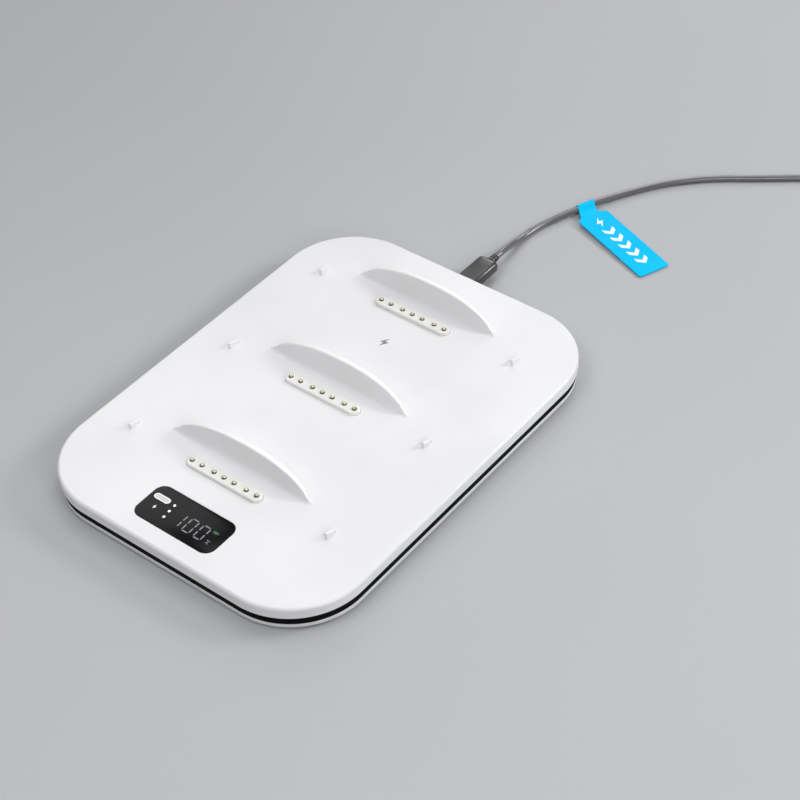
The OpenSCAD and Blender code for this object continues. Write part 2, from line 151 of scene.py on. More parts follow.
class Surface:
    """A node material: colour, roughness and bump that vary in the object's own coordinates."""

    def __init__(self, name, color, rough, metal=0.0, coat=0.0, coat_rough=0.1, ior=1.5):
        self.mat = bpy.data.materials.new(name)
        self.mat.use_nodes = True
        self.tree = self.mat.node_tree
        self.shader = self.tree.nodes["Principled BSDF"]
        self.color = color
        self.shader.inputs["Base Color"].default_value = (*color, 1)
        self.shader.inputs["Roughness"].default_value = rough
        self.shader.inputs["Metallic"].default_value = metal
        self.shader.inputs["Coat Weight"].default_value = coat
        self.shader.inputs["Coat Roughness"].default_value = coat_rough
        self.shader.inputs["IOR"].default_value = ior
        self.place = self.node("ShaderNodeTexCoord").outputs["Object"]
        self.normal = None

    def node(self, kind, **settings):
        n = self.tree.nodes.new(kind)
        for key, value in settings.items():
            setattr(n, key, value)
        return n

    def link(self, a, b):
        self.tree.links.new(a, b)

    def noise(self, scale, detail=3, stretch=None):
        """Noise in the object's coordinates, finer along the axes that stretch is high on."""
        n = self.node("ShaderNodeTexNoise")
        n.inputs["Scale"].default_value = scale
        n.inputs["Detail"].default_value = detail
        place = self.place
        if stretch:
            mapping = self.node("ShaderNodeMapping")
            mapping.inputs["Scale"].default_value = stretch
            self.link(place, mapping.inputs["Vector"])
            place = mapping.outputs["Vector"]
        self.link(place, n.inputs["Vector"])
        return n.outputs["Fac"]

    def ramp(self, source, low, high, a=0.35, b=0.65):
        """From low where source is a to high where it is b."""
        n = self.node("ShaderNodeMapRange")
        n.inputs["From Min"].default_value = a
        n.inputs["From Max"].default_value = b
        n.inputs["To Min"].default_value = low
        n.inputs["To Max"].default_value = high
        self.link(source, n.inputs["Value"])
        return n.outputs["Result"]

    def tint(self, source, other):
        """Mixes the base colour towards another where source is high."""
        mix = self.node("ShaderNodeMix", data_type="RGBA")
        self.link(self.ramp(source, 0, 1), mix.inputs["Factor"])
        mix.inputs[MIX_A].default_value = (*self.color, 1)
        mix.inputs[MIX_B].default_value = (*other, 1)
        self.link(mix.outputs[MIX_OUT], self.shader.inputs["Base Color"])
        return self

    def gloss(self, source, low, high):
        """Roughness between low and high."""
        self.link(self.ramp(source, low, high), self.shader.inputs["Roughness"])
        return self

    def bump(self, source, depth):
        """Adds relief, depth high, over any that is there already."""
        n = self.node("ShaderNodeBump")
        n.inputs["Distance"].default_value = depth
        self.link(source, n.inputs["Height"])
        if self.normal:
            self.link(self.normal, n.inputs["Normal"])
        self.normal = n.outputs["Normal"]
        self.link(self.normal, self.shader.inputs["Normal"])
        return self

    def glow(self, color, strength):
        self.shader.inputs["Emission Color"].default_value = (*color, 1)
        self.shader.inputs["Emission Strength"].default_value = strength
        return self


def moulded(name, color, rough, grain=1800, depth=0.01 * MM, other=None, **more):
    """Moulded plastic: fine spark-eroded grain, slow change of gloss, a faint change of tone."""
    s = Surface(name, color, rough, **more)
    fine = s.noise(grain, detail=4)
    slow = s.noise(22, detail=2)
    s.tint(slow, other or tuple(c * 0.94 for c in color))
    s.gloss(s.noise(60), rough * 0.86, rough * 1.16)
    s.bump(slow, depth * 2)
    return s.bump(fine, depth)


def metal(name, color, rough, stretch=(1, 1, 1)):
    """Metal with fine brushing along the axes that stretch is lowest on."""
    s = Surface(name, color, rough, metal=1.0)
    brush = s.noise(900, detail=4, stretch=stretch)
    s.tint(s.noise(150), tuple(c * 0.82 for c in color))
    s.gloss(brush, rough * 0.7, rough * 1.5)
    return s.bump(brush, 0.004 * MM)


def circuit_board():
    """Green solder mask over a fine pattern of tracks."""
    s = Surface("board_green", (0.03, 0.2, 0.08), 0.35, coat=0.3)
    tracks = s.node("ShaderNodeTexBrick")
    tracks.inputs["Scale"].default_value = 260
    s.link(s.place, tracks.inputs["Vector"])
    s.tint(tracks.outputs["Fac"], (0.05, 0.3, 0.12))
    return s.bump(tracks.outputs["Fac"], 0.02 * MM)


def cover_plastic():
    """White moulded plastic, with a painted highlight that lightens it where the mesh's crest attribute is
    high.
    """
    s = moulded("cover_white", (0.87, 0.87, 0.88), 0.38, grain=2600, depth=0.003 * MM)
    # painted highlight: the fins' crests get a lighter white, standing in for light caught on the rounded
    # crest
    highlight_mask = s.node("ShaderNodeAttribute", attribute_name="crest")
    mix = s.node("ShaderNodeMix", data_type="RGBA")
    socket = s.shader.inputs["Base Color"]
    s.link(highlight_mask.outputs["Fac"], mix.inputs["Factor"])
    s.link(socket.links[0].from_socket, mix.inputs[MIX_A])
    mix.inputs[MIX_B].default_value = (0.96, 0.96, 0.965, 1)
    s.link(mix.outputs[MIX_OUT], socket)
    return s


def gilded():
    """Pale gold plating, bright at a plunger's tip, darkened by painted shade where it goes into its strip.
    """
    s = metal("pin_brass", (0.8, 0.72, 0.5), 0.22)
    axes = s.node("ShaderNodeSeparateXYZ")
    s.link(s.place, axes.inputs["Vector"])
    # painted shade: the colour is multiplied down towards 0.06 at the strip's top, standing in for the
    # shadow round each pin
    depth = s.ramp(axes.outputs["Z"], 0.06, 1, STRIP_TOP, STRIP_TOP + 0.75 * MM)
    mix = s.node("ShaderNodeMix", data_type="RGBA", blend_type="MULTIPLY")
    mix.inputs["Factor"].default_value = 1
    socket = s.shader.inputs["Base Color"]
    s.link(socket.links[0].from_socket, mix.inputs[MIX_A])
    s.link(depth, mix.inputs[MIX_B])
    s.link(mix.outputs[MIX_OUT], socket)
    return s


MATERIALS = {
    "cover_white": cover_plastic(),
    "band_black": moulded("band_black", (0.003, 0.003, 0.0035), 0.6, depth=0.012 * MM, ior=1.15),
    "base_grey": moulded("base_grey", (0.8, 0.805, 0.82), 0.36, depth=0.008 * MM),
    "lens_black": moulded("lens_black", (0.002, 0.002, 0.003), 0.14, grain=400,
                          depth=0.0006 * MM, ior=1.3),
    "inner_black": moulded("inner_black", (0.03, 0.03, 0.032), 0.6, depth=0.015 * MM),
    "led": moulded("led", (0.85, 0.8, 0.62), 0.2, depth=0.004 * MM),
    "board_green": circuit_board(),
    "screw_steel": metal("screw_steel", (0.62, 0.63, 0.65), 0.32),
    "flex_amber": moulded("flex_amber", (0.6, 0.3, 0.06), 0.25, coat=0.5),
    "magnet": metal("magnet", (0.66, 0.67, 0.68), 0.16),
    "chip_black": moulded("chip_black", (0.03, 0.03, 0.034), 0.55, depth=0.02 * MM),
    "port_steel": metal("port_steel", (0.66, 0.67, 0.69), 0.24, stretch=(6, 1, 6)),
    "foot_rubber": moulded("foot_rubber", (0.035, 0.035, 0.037), 0.78, grain=3200, depth=0.03 * MM),
    "grip_grey": moulded("grip_grey", (0.032, 0.032, 0.034), 0.33, grain=3000, depth=0.008 * MM,
                         other=(0.042, 0.042, 0.045), coat=0.4, coat_rough=0.25),
    "cord_grey": moulded("cord_grey", (0.11, 0.11, 0.115), 0.3, grain=2200, depth=0.004 * MM,
                         other=(0.135, 0.135, 0.14), coat=1, coat_rough=0.22),
    "tag_blue": moulded("tag_blue", (0.0, 0.55, 0.96), 0.5, grain=1500, depth=0.01 * MM,
                        other=(0.0, 0.6, 0.97), ior=1.15),
    "strip_cream": moulded("strip_cream", (0.89, 0.89, 0.86), 0.34, grain=2400, depth=0.006 * MM),
    "pin_brass": gilded(),
    "spring_steel": metal("spring_steel", (0.6, 0.61, 0.63), 0.28),
}
for entry in frame["record"]["subparts"]:
    cad_mesh = frame["nodes"][entry["node"]].data
    cad_mesh.materials.clear()
    cad_mesh.materials.append(MATERIALS[entry["material_slot"]].mat)


# ---- mesh helpers ----

def keep(name, verts, faces, slot_name, body="dock", angle=SHARP_ANGLE, material=None):
    """A piece from points and faces, with outward normals and smooth shading up to an angle."""
    mesh = bpy.data.meshes.new(name)
    mesh.from_pydata([tuple(v) for v in verts], [], faces)
    bm = bmesh.new()
    bm.from_mesh(mesh)
    bmesh.ops.remove_doubles(bm, verts=bm.verts, dist=1e-7)
    bmesh.ops.recalc_face_normals(bm, faces=bm.faces)
    bm.to_mesh(mesh)
    bm.free()
    piece = bpy.data.objects.new(name, mesh)
    SCENE.collection.objects.link(piece)
    shade(piece, angle)
    mesh.materials.append((material or MATERIALS[slot_name]).mat)
    if body:
        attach(piece, body)
    return piece


def shade(piece, angle):
    """Smooth shading, with an edge kept sharp where it turns by more than angle degrees."""
    piece.data.shade_smooth()
    piece.data.set_sharp_from_angle(angle=math.radians(angle))


def tool(verts, faces):
    """A closed solid that only cuts or joins."""
    return keep("tool", verts, faces, "cover_white", body=None)


def join(piece, operation, tools):
    """Cuts the tools from a piece, or joins them to it, and throws them away."""
    for t in tools:
        step = piece.modifiers.new("step", "BOOLEAN")
        step.operation = operation
        step.solver = "MANIFOLD"
        step.object = t
    graph = bpy.context.evaluated_depsgraph_get()
    done = bpy.data.meshes.new_from_object(piece.evaluated_get(graph))
    piece.modifiers.clear()
    piece.data = done
    for t in tools:
        bpy.data.objects.remove(t)
    return piece


def even_normals(piece):
    """Lets large flat faces set the normals at their edges, so that long faces shade flat."""
    shade(piece, SHARP_ANGLE)
    weigh = piece.modifiers.new("even", "WEIGHTED_NORMAL")
    weigh.keep_sharp = True
    weigh.weight = 90


def outline(w, l, r, n=12):
    """Rounded rectangle, anticlockwise, with n facets to each corner."""
    points = []
    for k, (sx, sy) in enumerate(((1, 1), (-1, 1), (-1, -1), (1, -1))):
        for i in range(n + 1):
            a = math.radians(90 * k + 90 * i / n)
            points.append((sx * (w / 2 - r) + r * math.cos(a), sy * (l / 2 - r) + r * math.sin(a)))
    return points


def loft(loops):
    """Points and faces of the capped solid that runs through loops of one length."""
    n = len(loops[0])
    verts = [p for loop in loops for p in loop]
    faces = []
    for i in range(len(loops) - 1):
        a, b = i * n, (i + 1) * n
        faces += [(a + k, a + (k + 1) % n, b + (k + 1) % n, b + k) for k in range(n)]
    faces += [tuple(range(n))[::-1], tuple((len(loops) - 1) * n + k for k in range(n))]
    return verts, faces


def stack(w, l, r, levels, at=(0, 0), n=12):
    """Rounded rectangle lofted upwards; each level is (inset, height)."""
    loops = []
    for inset, z in levels:
        ring = outline(w - 2 * inset, l - 2 * inset, max(r - inset, 0.02 * MM), n)
        loops.append([(at[0] + x, at[1] + y, z) for x, y in ring])
    return loft(loops)


def rounded(r, z, steps=6, up=True):
    """Levels of a quarter round of radius r that ends at height z, at the top or the bottom edge."""
    levels = []
    for i in range(steps + 1):
        a = math.radians(90 * i / steps)
        drop = r - r * math.sin(a)
        inset = r - r * math.cos(a)
        levels.append((inset, z - drop if up else z + drop))
    return levels if up else levels[::-1]


def pocket(w, l, r, floor, top, lip, at, n=12):
    """Cutter for a pocket whose rim is eased by a small round."""
    rim = []
    for degrees in (0, 30, 60, 90):
        a = math.radians(degrees)
        rim.append((-lip * (1 - math.cos(a)), top - lip * (1 - math.sin(a))))
    return stack(w, l, r, [(0, floor)] + rim + [(-lip, top + PAST)], at, n)


# ---- cord and coil: the CAD route again, in millimetres; make_cord() turns it into metres ----

ROUTE = [
    (-3, 122.7, 5.8), (-3, 124.5, 5.8), (-3, 126.5, 5.8), (-3.3, 131, 5), (-3.8, 136, 3.6),
    (-4.2, 141, 2.3), (-4.2, 147, 1.6), (-3.2, 155, 1.5), (-0.6, 164, 1.6), (3.9, 174.8, 2.1),
    (6.2, 180.5, 2.1), (8.6, 186.2, 2.1), (16.8, 202, 1.5), (26, 216, 1.5), (36, 227, 1.5),
    (46, 235.5, 1.5), (58, 244, 1.5), (75, 256.3, 1.5), (88, 265, 1.5), (100, 273, 1.5),
]
TAIL = [(136, 254, 4.5), (136, 249, 4.2), (136, 244, 3.3), (136, 240, 3), (136, 238, 3), (136, 236, 3)]
INTO_NEAR_GRIP = 4
INTO_FAR_GRIP = (136, 231, 3)
COIL_AT = (113, 254)
COIL_IN, COIL_OUT = 11.5, 23
COIL_START = 124
COIL_SPAN = COIL_START + 7 * 360
COIL_STEP = 9
HALF_RISE = 0.35 * 360
LAYER_LOW, LAYER_RISE = 1.5, 3


def curve_through(points, n):
    """Points of a smooth curve through given ones, n to a span."""
    done = []
    p = [Vector(q) for q in points]
    for i in range(len(p) - 1):
        a, b, c, d = p[max(i - 1, 0)], p[i], p[i + 1], p[min(i + 2, len(p) - 1)]
        for k in range(n):
            t = k / n
            done.append(0.5 * (2 * b + (c - a) * t + (2 * a - 5 * b + 4 * c - d) * t * t
                               + (3 * b - a - 3 * c + d) * t ** 3))
    return done + [p[-1]]


def coil_points():
    """Two layers of turns: inwards on the table, then outwards on top of those. Angles are in degrees."""
    points = []
    count = int(COIL_SPAN / COIL_STEP)
    for k in range(1, count):
        gone = COIL_SPAN * k / count
        side = abs(gone - COIL_SPAN / 2) / (COIL_SPAN / 2)
        radius = COIL_IN + (COIL_OUT - COIL_IN) * side
        t = min(max((gone - COIL_SPAN / 2) / (2 * HALF_RISE) + 0.5, 0), 1)
        z = LAYER_LOW + LAYER_RISE * t * t * (3 - 2 * t)
        a = math.radians(COIL_START - gone)
        x, y = COIL_AT[0] + radius * math.cos(a), COIL_AT[1] + radius * math.sin(a)
        points.append(Vector((x, y, z)))
    return points


def make_cord():
    """The whole lead as one open curve, with its ends inside the two plugs' strain reliefs."""
    start = [(ROUTE[0][0], ROUTE[0][1] - INTO_NEAR_GRIP, ROUTE[0][2])]
    line = curve_through(start + ROUTE, 6) + coil_points() + curve_through(TAIL + [INTO_FAR_GRIP], 5)
    data = bpy.data.curves.new("lead_cord", "CURVE")
    data.dimensions = "3D"
    data.bevel_depth = CORD_R
    data.bevel_resolution = 5
    data.use_fill_caps = True
    spline = data.splines.new("POLY")
    spline.points.add(len(line) - 1)
    for point, place in zip(spline.points, line):
        point.co = (*(place * MM), 1)
    spline.use_smooth = True
    data.materials.append(MATERIALS["cord_grey"].mat)
    piece = bpy.data.objects.new("lead_cord", data)
    SCENE.collection.objects.link(piece)
    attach(piece, "lead")
    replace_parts(piece, "cord_tube", "cord_coil", "cord_tail")
    return piece


GRIP_W, GRIP_H, GRIP_R = 10.4 * MM, 5.8 * MM, 2.4 * MM
# (inset, distance behind the grip's front face), in millimetres
GRIP_LEVELS = [
    (0.5, 0), (0.2, 0.12), (0.06, 0.3), (0, 0.6), (0, 2.2), (0.12, 2.5), (0.12, 2.9), (0, 3.2),
    (0, 16.6), (0.03, 17.4), (0.14, 18), (0.38, 18.5), (0.75, 18.83), (1.2, 19),
]
# (radius, distance from the cable end), in millimetres
RELIEF_LEVELS = [
    (2.35, 4.78), (2.05, 4.6), (1.96, 4.2), (1.9, 3.4), (1.9, 2.9), (1.76, 2.8), (1.76, 2.5),
    (1.87, 2.4), (1.84, 1.2), (1.72, 1.1), (1.72, 0.8), (1.82, 0.7), (1.78, 0.15), (1.7, 0),
]


def section(w, h, r, y, at):
    """Rounded rectangle across the plug's axis, at distance y in front of its cable end."""
    return [(at.x + x, at.y - y, at.z + z) for x, z in outline(w, h, r, 8)]


def make_plug(name, node, at):
    """Moulded grip with eased ends and a short strain relief with two grooves."""
    front = RELIEF_L + GRIP_L
    loops = []
    for inset, y in GRIP_LEVELS:
        edge = 2 * inset * MM
        loops.append(section(GRIP_W - edge, GRIP_H - edge, GRIP_R - 0.5 * inset * MM, front - y * MM, at))
    for radius, y in RELIEF_LEVELS:
        loops.append(section(2 * radius * MM, 2 * radius * MM, radius * 0.999 * MM, y * MM, at))
    piece = keep(name, *loft(loops), "grip_grey", "lead", angle=50)
    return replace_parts(piece, node)


TAG_AT = Vector((6.2, 180.5, 2.1)) * MM
TAG_TURN = math.radians(-22)
TAG_TILT = math.radians(1.5)
TAG_NECK_W, TAG_BODY_W = 8.8 * MM, 15.6 * MM
TAG_NECK_L, TAG_SHOULDER, TAG_END = 5.5 * MM, 8.5 * MM, 54 * MM
TAG_NECK_SLIP, TAG_BODY_SLIP = -2 * MM, -1.5 * MM
TAG_CORNER = 1 * MM
TAG_LOOP_R = 1.78 * MM
TAG_COLUMNS = 8
# half the distance between the two layers, the film's thickness and the print's, in millimetres
TAG_LAYER, FILM, INK = 0.16, 0.22, 0.03


def tag_place():
    """From the label's own axes (along it, across it, out of it) to the model's."""
    return Matrix.Translation(TAG_AT) @ Matrix.Rotation(TAG_TURN, 4, "Z") @ Matrix.Rotation(TAG_TILT, 4, "Y")


def tag_across(u):
    """Middle line and half width of the label at u along it: neck, shoulders, body and eased end corners."""
    if u < TAG_NECK_L:
        return TAG_NECK_SLIP * max(u, 0) / TAG_NECK_L, TAG_NECK_W / 2
    rise = min((u - TAG_NECK_L) / (TAG_SHOULDER - TAG_NECK_L), 1)
    rise = rise * rise * (3 - 2 * rise)
    middle = TAG_NECK_SLIP + (TAG_BODY_SLIP - TAG_NECK_SLIP) * rise
    if u > TAG_SHOULDER:
        middle = TAG_BODY_SLIP * (TAG_END - u) / (TAG_END - TAG_SHOULDER)
    half = TAG_NECK_W / 2 + (TAG_BODY_W - TAG_NECK_W) / 2 * rise
    over = max(u - (TAG_END - TAG_CORNER), 0)
    return middle, half - (TAG_CORNER - math.sqrt(max(TAG_CORNER ** 2 - over ** 2, 0)))


def make_tag():
    """Printed film folded round the lead and stuck to itself."""
    layer = TAG_LAYER * MM
    ease = math.asin(layer / TAG_LOOP_R)
    spans = [TAG_END - 0.25 * MM * k for k in range(5)]
    spans += [TAG_END - 1 * MM - 1.5 * MM * k for k in range(1, 27)]
    flat = [u for u in spans if u > TAG_SHOULDER]
    flat += [TAG_NECK_L + (TAG_SHOULDER - TAG_NECK_L) * k / 8 for k in range(9)] + [TAG_LOOP_R * 1.6]
    flat = sorted(set(flat), reverse=True)
    path = [(u, layer) for u in flat]
    for k in range(1, 24):
        a = ease + (2 * math.pi - 2 * ease) * k / 24
        path.append((TAG_LOOP_R * math.cos(a), TAG_LOOP_R * math.sin(a)))
    path += [(u, -layer) for u in reversed(flat)]
    place = tag_place()
    row = TAG_COLUMNS + 1
    verts, faces = [], []
    for u, w in path:
        middle, half = tag_across(u)
        for k in range(row):
            verts.append(place @ Vector((u, middle + half * (2 * k / TAG_COLUMNS - 1), w)))
    for i in range(len(path) - 1):
        a = i * row
        faces += [(a + k, a + k + 1, a + k + row + 1, a + k + row) for k in range(TAG_COLUMNS)]
    piece = keep("lead_label", verts, faces, "tag_blue", "lead", angle=60)
    film = piece.modifiers.new("film", "SOLIDIFY")
    film.thickness = FILM * MM
    film.offset = 0
    graph = bpy.context.evaluated_depsgraph_get()
    piece.data = bpy.data.meshes.new_from_object(piece.evaluated_get(graph))
    piece.modifiers.clear()
    shade(piece, 60)
    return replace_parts(piece, "cable_tag")


def slab(points, z0, z1):
    """Flat outline made into a thin solid."""
    return loft([[(x, y, z0) for x, y in points], [(x, y, z1) for x, y in points]])


def merged(parts):
    """Several solids as one list of points and one of faces."""
    verts, faces = [], []
    for v, f in parts:
        base = len(verts)
        verts += v
        faces += [tuple(i + base for i in face) for face in f]
    return verts, faces


def bolt(size):
    """Plain lightning bolt, size high."""
    shape = [(0.12, 0.5), (-0.3, -0.08), (-0.02, -0.08), (-0.12, -0.5), (0.3, 0.1), (0.02, 0.1)]
    return [(x * size, y * size) for x, y in shape]


def make_tag_marks():
    """White arrow marks and a bolt printed on the label."""
    low = (TAG_LAYER + FILM / 2) * MM
    high = low + INK * MM
    arm, rise, width = 2.6 * MM, 2.8 * MM, 2.6 * MM
    first_arrow, pitch, bolt_at = 18.6, 6, 13.4 * MM
    parts = []
    for k in range(5):
        u = (first_arrow + pitch * k) * MM
        shape = [
            (u, rise), (u + arm, 0), (u, -rise),
            (u + width, -rise), (u + width + arm, 0), (u + width, rise),
        ]
        parts.append(slab([(a, b + tag_across(a)[0]) for a, b in shape], low, high))
    mark = [(bolt_at - y, x + tag_across(bolt_at)[0]) for x, y in bolt(6.6 * MM)]
    parts.append(slab(mark, low, high))
    verts, faces = merged(parts)
    place = tag_place()
    ink = moulded("tag_ink", (0.85, 0.93, 0.95), 0.4, other=(0.8, 0.9, 0.93))
    return keep("label_marks", [place @ Vector(v) for v in verts], faces, "tag_blue", "lead", material=ink)


lead_cord = make_cord()
near_grip = make_plug("near_grip", "near_plug_body", Vector(ROUTE[0]) * MM)
far_grip = make_plug("far_grip", "far_plug_body", Vector(TAIL[-1]) * MM)
lead_label = make_tag()
label_marks = make_tag_marks()


# ---- top cover ----

CREST_SAMPLES = 5
CREST_EASE = 0.013
CREST_POWER, CREST_BLUNT = 2.4, 0.64
FIN_REACH = 1.065
FIN_STEPS = 96
FIN_SINK = 0.03 * MM
# where the painted highlight on the fins' crests fades in, and how it thins out towards the fins' low ends
HIGHLIGHT_FROM, HIGHLIGHT_SPAN = 0.75, 0.22
HIGHLIGHT_LEAST, HIGHLIGHT_SHARE = 0.05, 0.3
SMOOTHING_ROUNDS = 3
POST_SINK = 1 * MM
POST_EASE = 0.4 * MM


def crest(u):
    """Height of a fin's crest, as a share of the whole, at u from -1 to 1; its ends are eased."""
    total = 0
    for k in range(-CREST_SAMPLES, CREST_SAMPLES + 1):
        v = abs(u + CREST_EASE * k)
        total += max(1 - v ** CREST_POWER, 0) ** CREST_BLUNT if v < 1 else 0
    return total / (2 * CREST_SAMPLES + 1)


def chaikin(points):
    """Cuts the corners of an open line until it is smooth."""
    for _ in range(SMOOTHING_ROUNDS):
        done = [points[0]]
        for a, b in zip(points, points[1:]):
            done.append((a[0] * 0.75 + b[0] * 0.25, a[1] * 0.75 + b[1] * 0.25))
            done.append((a[0] * 0.25 + b[0] * 0.75, a[1] * 0.25 + b[1] * 0.75))
        points = done + [points[-1]]
    return points


def fin_profile(share):
    """Side view of a fin where its crest is share of the full height, as (y, z)."""
    lean, high = FIN_LEAN * share, FIN_H * share
    step = FIN_THICK * share ** 0.7
    skirt = FIN_THICK * share ** 0.4
    soft = (1 - share) ** 2 * MM
    foot = lean + 2.3 * step
    front = [
        (-1.8 * skirt - 2.4 * soft, 0),
        (-1.3 * skirt - 1.8 * soft, 0),
        (-0.05 * skirt - 1.2 * soft, high * 0.005),
        (lean * 0.45 - 0.5 * soft, high * 0.4),
        (lean * 0.76 - 0.2 * soft, high * 0.76),
        (lean * 0.97, high * 0.95),
    ]
    rim = [(lean + 0.12 * step, high), (lean + 0.6 * step, high), (lean + 1.1 * step, high * 0.95)]
    back = [(lean + 1.5 * step, high * 0.74), (lean + 1.9 * step, high * 0.33), (foot, high * 0.04)]
    return chaikin(front + rim + back + [(foot + 0.8 * skirt, 0), (foot + 1.6 * skirt, 0)])


def fin_solid(row):
    """Curved fin that rises from the plate with an eased foot on both sides."""
    root = TOP_Z - SKIN / 2
    loops = []
    for i in range(FIN_STEPS + 1):
        u = FIN_REACH * math.sin(math.pi / 2 * (2 * i / FIN_STEPS - 1))
        side = fin_profile(crest(u))
        x = BAY_X + u * FIN_HALF
        y0 = row + FIN_FRONT
        loop = [(x, y0 + y, TOP_Z - FIN_SINK + z) for y, z in side]
        loop += [(x, y0 + side[-1][0] + ROOT, root), (x, y0 + side[0][0] - ROOT, root)]
        loops.append(loop)
    return loft(loops)


def crest_highlight_share(place):
    """How strongly a point of the cover takes the painted highlight on a fin's crest, from 0 to 1."""
    row = min(ROWS, key=lambda y: abs(place.y - y - FIN_FRONT))
    share = crest((place.x - BAY_X) / FIN_HALF)
    if share < HIGHLIGHT_LEAST or place.y - row - FIN_FRONT < FIN_LEAN * share - 0.05 * MM:
        return 0
    height = (place.z - TOP_Z) / (FIN_H * share)
    return min(max((height - HIGHLIGHT_FROM) / HIGHLIGHT_SPAN, 0), 1) * min(share / HIGHLIGHT_SHARE, 1)


def post_solid(x, y):
    """Locating post: upright front, sloping top, softened edges."""
    bm = bmesh.new()
    side = [(0, -POST_SINK), (0, POST_H), (POST_L, POST_H * 0.5), (POST_L, -POST_SINK)]
    left = [bm.verts.new((x - POST_T / 2, y + a, TOP_Z + b)) for a, b in side]
    right = [bm.verts.new((x + POST_T / 2, y + a, TOP_Z + b)) for a, b in side]
    bm.faces.new(left)
    bm.faces.new(right[::-1])
    for k in range(4):
        j = (k + 1) % 4
        bm.faces.new((left[j], left[k], right[k], right[j]))
    bmesh.ops.recalc_face_normals(bm, faces=bm.faces)
    bmesh.ops.bevel(bm, geom=bm.edges[:], offset=POST_EASE, segments=4, affect="EDGES", profile=0.5)
    mesh = bpy.data.meshes.new("tool")
    bm.to_mesh(mesh)
    bm.free()
    piece = bpy.data.objects.new("tool", mesh)
    SCENE.collection.objects.link(piece)
    return piece


def disc(x, y, r, n=20):
    """Outline of a circle round x, y."""
    return [(x + r * math.cos(2 * math.pi * k / n), y + r * math.sin(2 * math.pi * k / n)) for k in range(n)]


def tube(x, y, r, z0, z1, n=32):
    """Upright round solid, for bosses and holes."""
    return slab(disc(x, y, r, n), z0, z1)


SCREWS = [(x * MM, y * MM) for x in (-61, 61) for y in (-52, 0, 52)]
BOSS_R, BOSS_LOW = 3.2 * MM, 4 * MM
PILOT_R, PILOT_LOW, PILOT_TOP = 1.15 * MM, 3 * MM, 8.6 * MM
LENS_SCREWS = [(LENS_AT.x + s * 20.5 * MM, LENS_AT.y) for s in (-1, 1)]
LENS_BOSS_R, LENS_BOSS_LOW = 2 * MM, 7.2 * MM
SMALL_PILOT_R, LENS_PILOT_LOW, LENS_PILOT_TOP = 0.85 * MM, 7 * MM, 9.6 * MM
LEDGE_DEPTH, LEDGE_W = 1.2 * MM, 2 * MM
PORT_W, PORT_DEPTH, PORT_R, PORT_TOP = 15.2 * MM, 16 * MM, 0.4 * MM, 9.1 * MM
LOWER_EASE = 0.15 * MM
CEILING_EASE = 0.6 * MM


def make_cover():
    """Upper shell with its fins, posts and screw bosses, and pockets for the lens, strips and socket."""
    levels = [(LOWER_EASE, SIDE_Z), (0, SIDE_Z + LOWER_EASE)] + rounded(EDGE_R, TOP_Z, 8)
    cover = keep("top_shell", *stack(PLATE_W, PLATE_L, CORNER_R, levels, n=28), "cover_white")
    inside = stack(PLATE_W - 2 * WALL, PLATE_L - 2 * WALL, CORNER_R - WALL,
                   [(0, SIDE_Z - PAST), (0, CEILING - CEILING_EASE), (CEILING_EASE, CEILING)], n=20)
    join(cover, "DIFFERENCE", [tool(*inside)])
    adds = [tool(*fin_solid(row)) for row in ROWS]
    adds += [post_solid(BAY_X + POST_SHIFT + s * POST_X, row + POST_BACK) for s in (-1, 1) for row in ROWS]
    adds += [tool(*tube(x, y, BOSS_R, BOSS_LOW, CEILING + ROOT)) for x, y in SCREWS]
    adds += [tool(*tube(x, y, LENS_BOSS_R, LENS_BOSS_LOW, CEILING + ROOT)) for x, y in LENS_SCREWS]
    join(cover, "UNION", adds)
    lens_at = (LENS_AT.x, LENS_AT.y)
    cuts = [
        pocket(LENS_W + 2 * SEAM, LENS_L + 2 * SEAM, LENS_R + SEAM, TOP_Z - LEDGE_DEPTH, TOP_Z,
               RIM, lens_at, 14),
        stack(LENS_W - 2 * LEDGE_W, LENS_L - 2 * LEDGE_W, LENS_R - LEDGE_W,
              [(0, CEILING - PAST), (0, TOP_Z)], lens_at),
        stack(PORT_W, PORT_DEPTH, PORT_R, [(0, SIDE_Z - PAST), (0, PORT_TOP)], (PORT.x, PLATE_L / 2)),
    ]
    cuts += [tube(x, y, PILOT_R, PILOT_LOW, PILOT_TOP) for x, y in SCREWS]
    cuts += [tube(x, y, SMALL_PILOT_R, LENS_PILOT_LOW, LENS_PILOT_TOP) for x, y in LENS_SCREWS]
    cuts += [pocket(STRIP_L + 2 * SEAM, STRIP_W + 2 * SEAM, STRIP_W / 2 + SEAM, CEILING - PAST, TOP_Z,
                    RIM, (BAY_X, row), 14) for row in ROWS]
    join(cover, "DIFFERENCE", [tool(*c) for c in cuts])
    even_normals(cover)
    # painted highlight: each point's crest attribute lightens the cover's colour along the fins' crests
    highlight_mask = cover.data.attributes.new("crest", "FLOAT", "POINT")
    for vertex, item in zip(cover.data.vertices, highlight_mask.data):
        item.value = crest_highlight_share(vertex.co)
    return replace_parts(cover, "top_cover")


# ---- contact strips ----

STRIP_EASE = 0.55 * MM
FLANGE_BRIM, FLANGE_LOW, FLANGE_GAP = 2 * MM, 1.2 * MM, 0.02 * MM
BARREL_R = 1.52 * MM
COLLAR = 0.6 * MM
PIN_HOLE_W, PIN_HOLE_R, PIN_HOLE_LIP = 2.1 * MM, 1.049 * MM, 0.14 * MM


